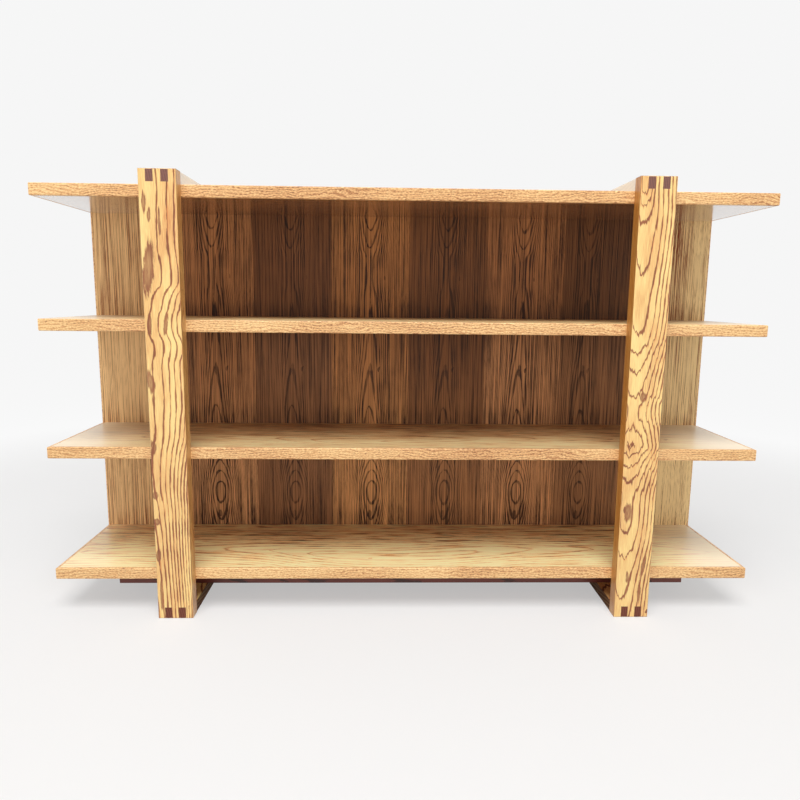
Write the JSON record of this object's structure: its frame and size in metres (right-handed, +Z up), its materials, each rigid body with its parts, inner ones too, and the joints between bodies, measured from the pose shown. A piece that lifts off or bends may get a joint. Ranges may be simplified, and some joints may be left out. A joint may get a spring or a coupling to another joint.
{
  "type": "bookshelf",
  "caption": "Long low oak bookshelf: shelves run through two box-jointed upright frames and past their ends, with a veneered back panel.",
  "frame": {"origin": "on the floor, under the middle of the bookshelf's length and depth", "axes": "+X along the shelves to the right as seen from the front, +Y from the front to the back panel, +Z up"},
  "size_m": [2.134, 0.495, 1.311],
  "materials": {
    "frame_oak": "flat-sawn oak under satin lacquer",
    "shelf_oak": "oak veneer under satin lacquer",
    "lipping_oak": "solid oak under satin lacquer",
    "panel_oak": "oak veneer, thinly lacquered",
    "leaf_oak_light": "sequence-matched oak veneer",
    "leaf_oak_dark": "sequence-matched oak veneer",
    "runner_oak": "dark stained oak",
    "tenon_beech": "bare beech",
    "screw_steel": "zinc plated"
  },
  "bodies": {
    "root": {"left_front_post": "frame_oak", "left_rear_post": "frame_oak", "left_top_rail": "frame_oak", "left_bottom_rail": "frame_oak", "right_front_post": "frame_oak", "right_rear_post": "frame_oak", "right_top_rail": "frame_oak", "right_bottom_rail": "frame_oak", "top_shelf": "shelf_oak", "top_shelf_front_lipping": "lipping_oak", "top_shelf_left_lipping": "lipping_oak", "top_shelf_right_lipping": "lipping_oak", "upper_shelf": "shelf_oak", "upper_shelf_front_lipping": "lipping_oak", "upper_shelf_left_lipping": "lipping_oak", "upper_shelf_right_lipping": "lipping_oak", "lower_shelf": "shelf_oak", "lower_shelf_front_lipping": "lipping_oak", "lower_shelf_left_lipping": "lipping_oak", "lower_shelf_right_lipping": "lipping_oak", "bottom_shelf": "shelf_oak", "bottom_shelf_front_lipping": "lipping_oak", "bottom_shelf_left_lipping": "lipping_oak", "bottom_shelf_right_lipping": "lipping_oak", "back_panel": "panel_oak", "back_panel_left_lipping": "lipping_oak", "back_panel_right_lipping": "lipping_oak", "back_panel_top_lipping": "lipping_oak", "back_panel_bottom_lipping": "lipping_oak", "veneer_leaf_1": "leaf_oak_dark", "veneer_leaf_2": "leaf_oak_light", "veneer_leaf_3": "leaf_oak_dark", "veneer_leaf_4": "leaf_oak_light", "veneer_leaf_5": "leaf_oak_dark", "veneer_leaf_6": "leaf_oak_light", "veneer_leaf_7": "leaf_oak_dark", "veneer_leaf_8": "leaf_oak_light", "front_runner": "runner_oak", "rear_runner": "runner_oak", "front_shelf_tenons": "tenon_beech", "rear_shelf_tenons": "tenon_beech", "rail_tenons": "tenon_beech", "runner_tenons": "tenon_beech", "panel_screws": "screw_steel"}
  },
  "joints": []
}
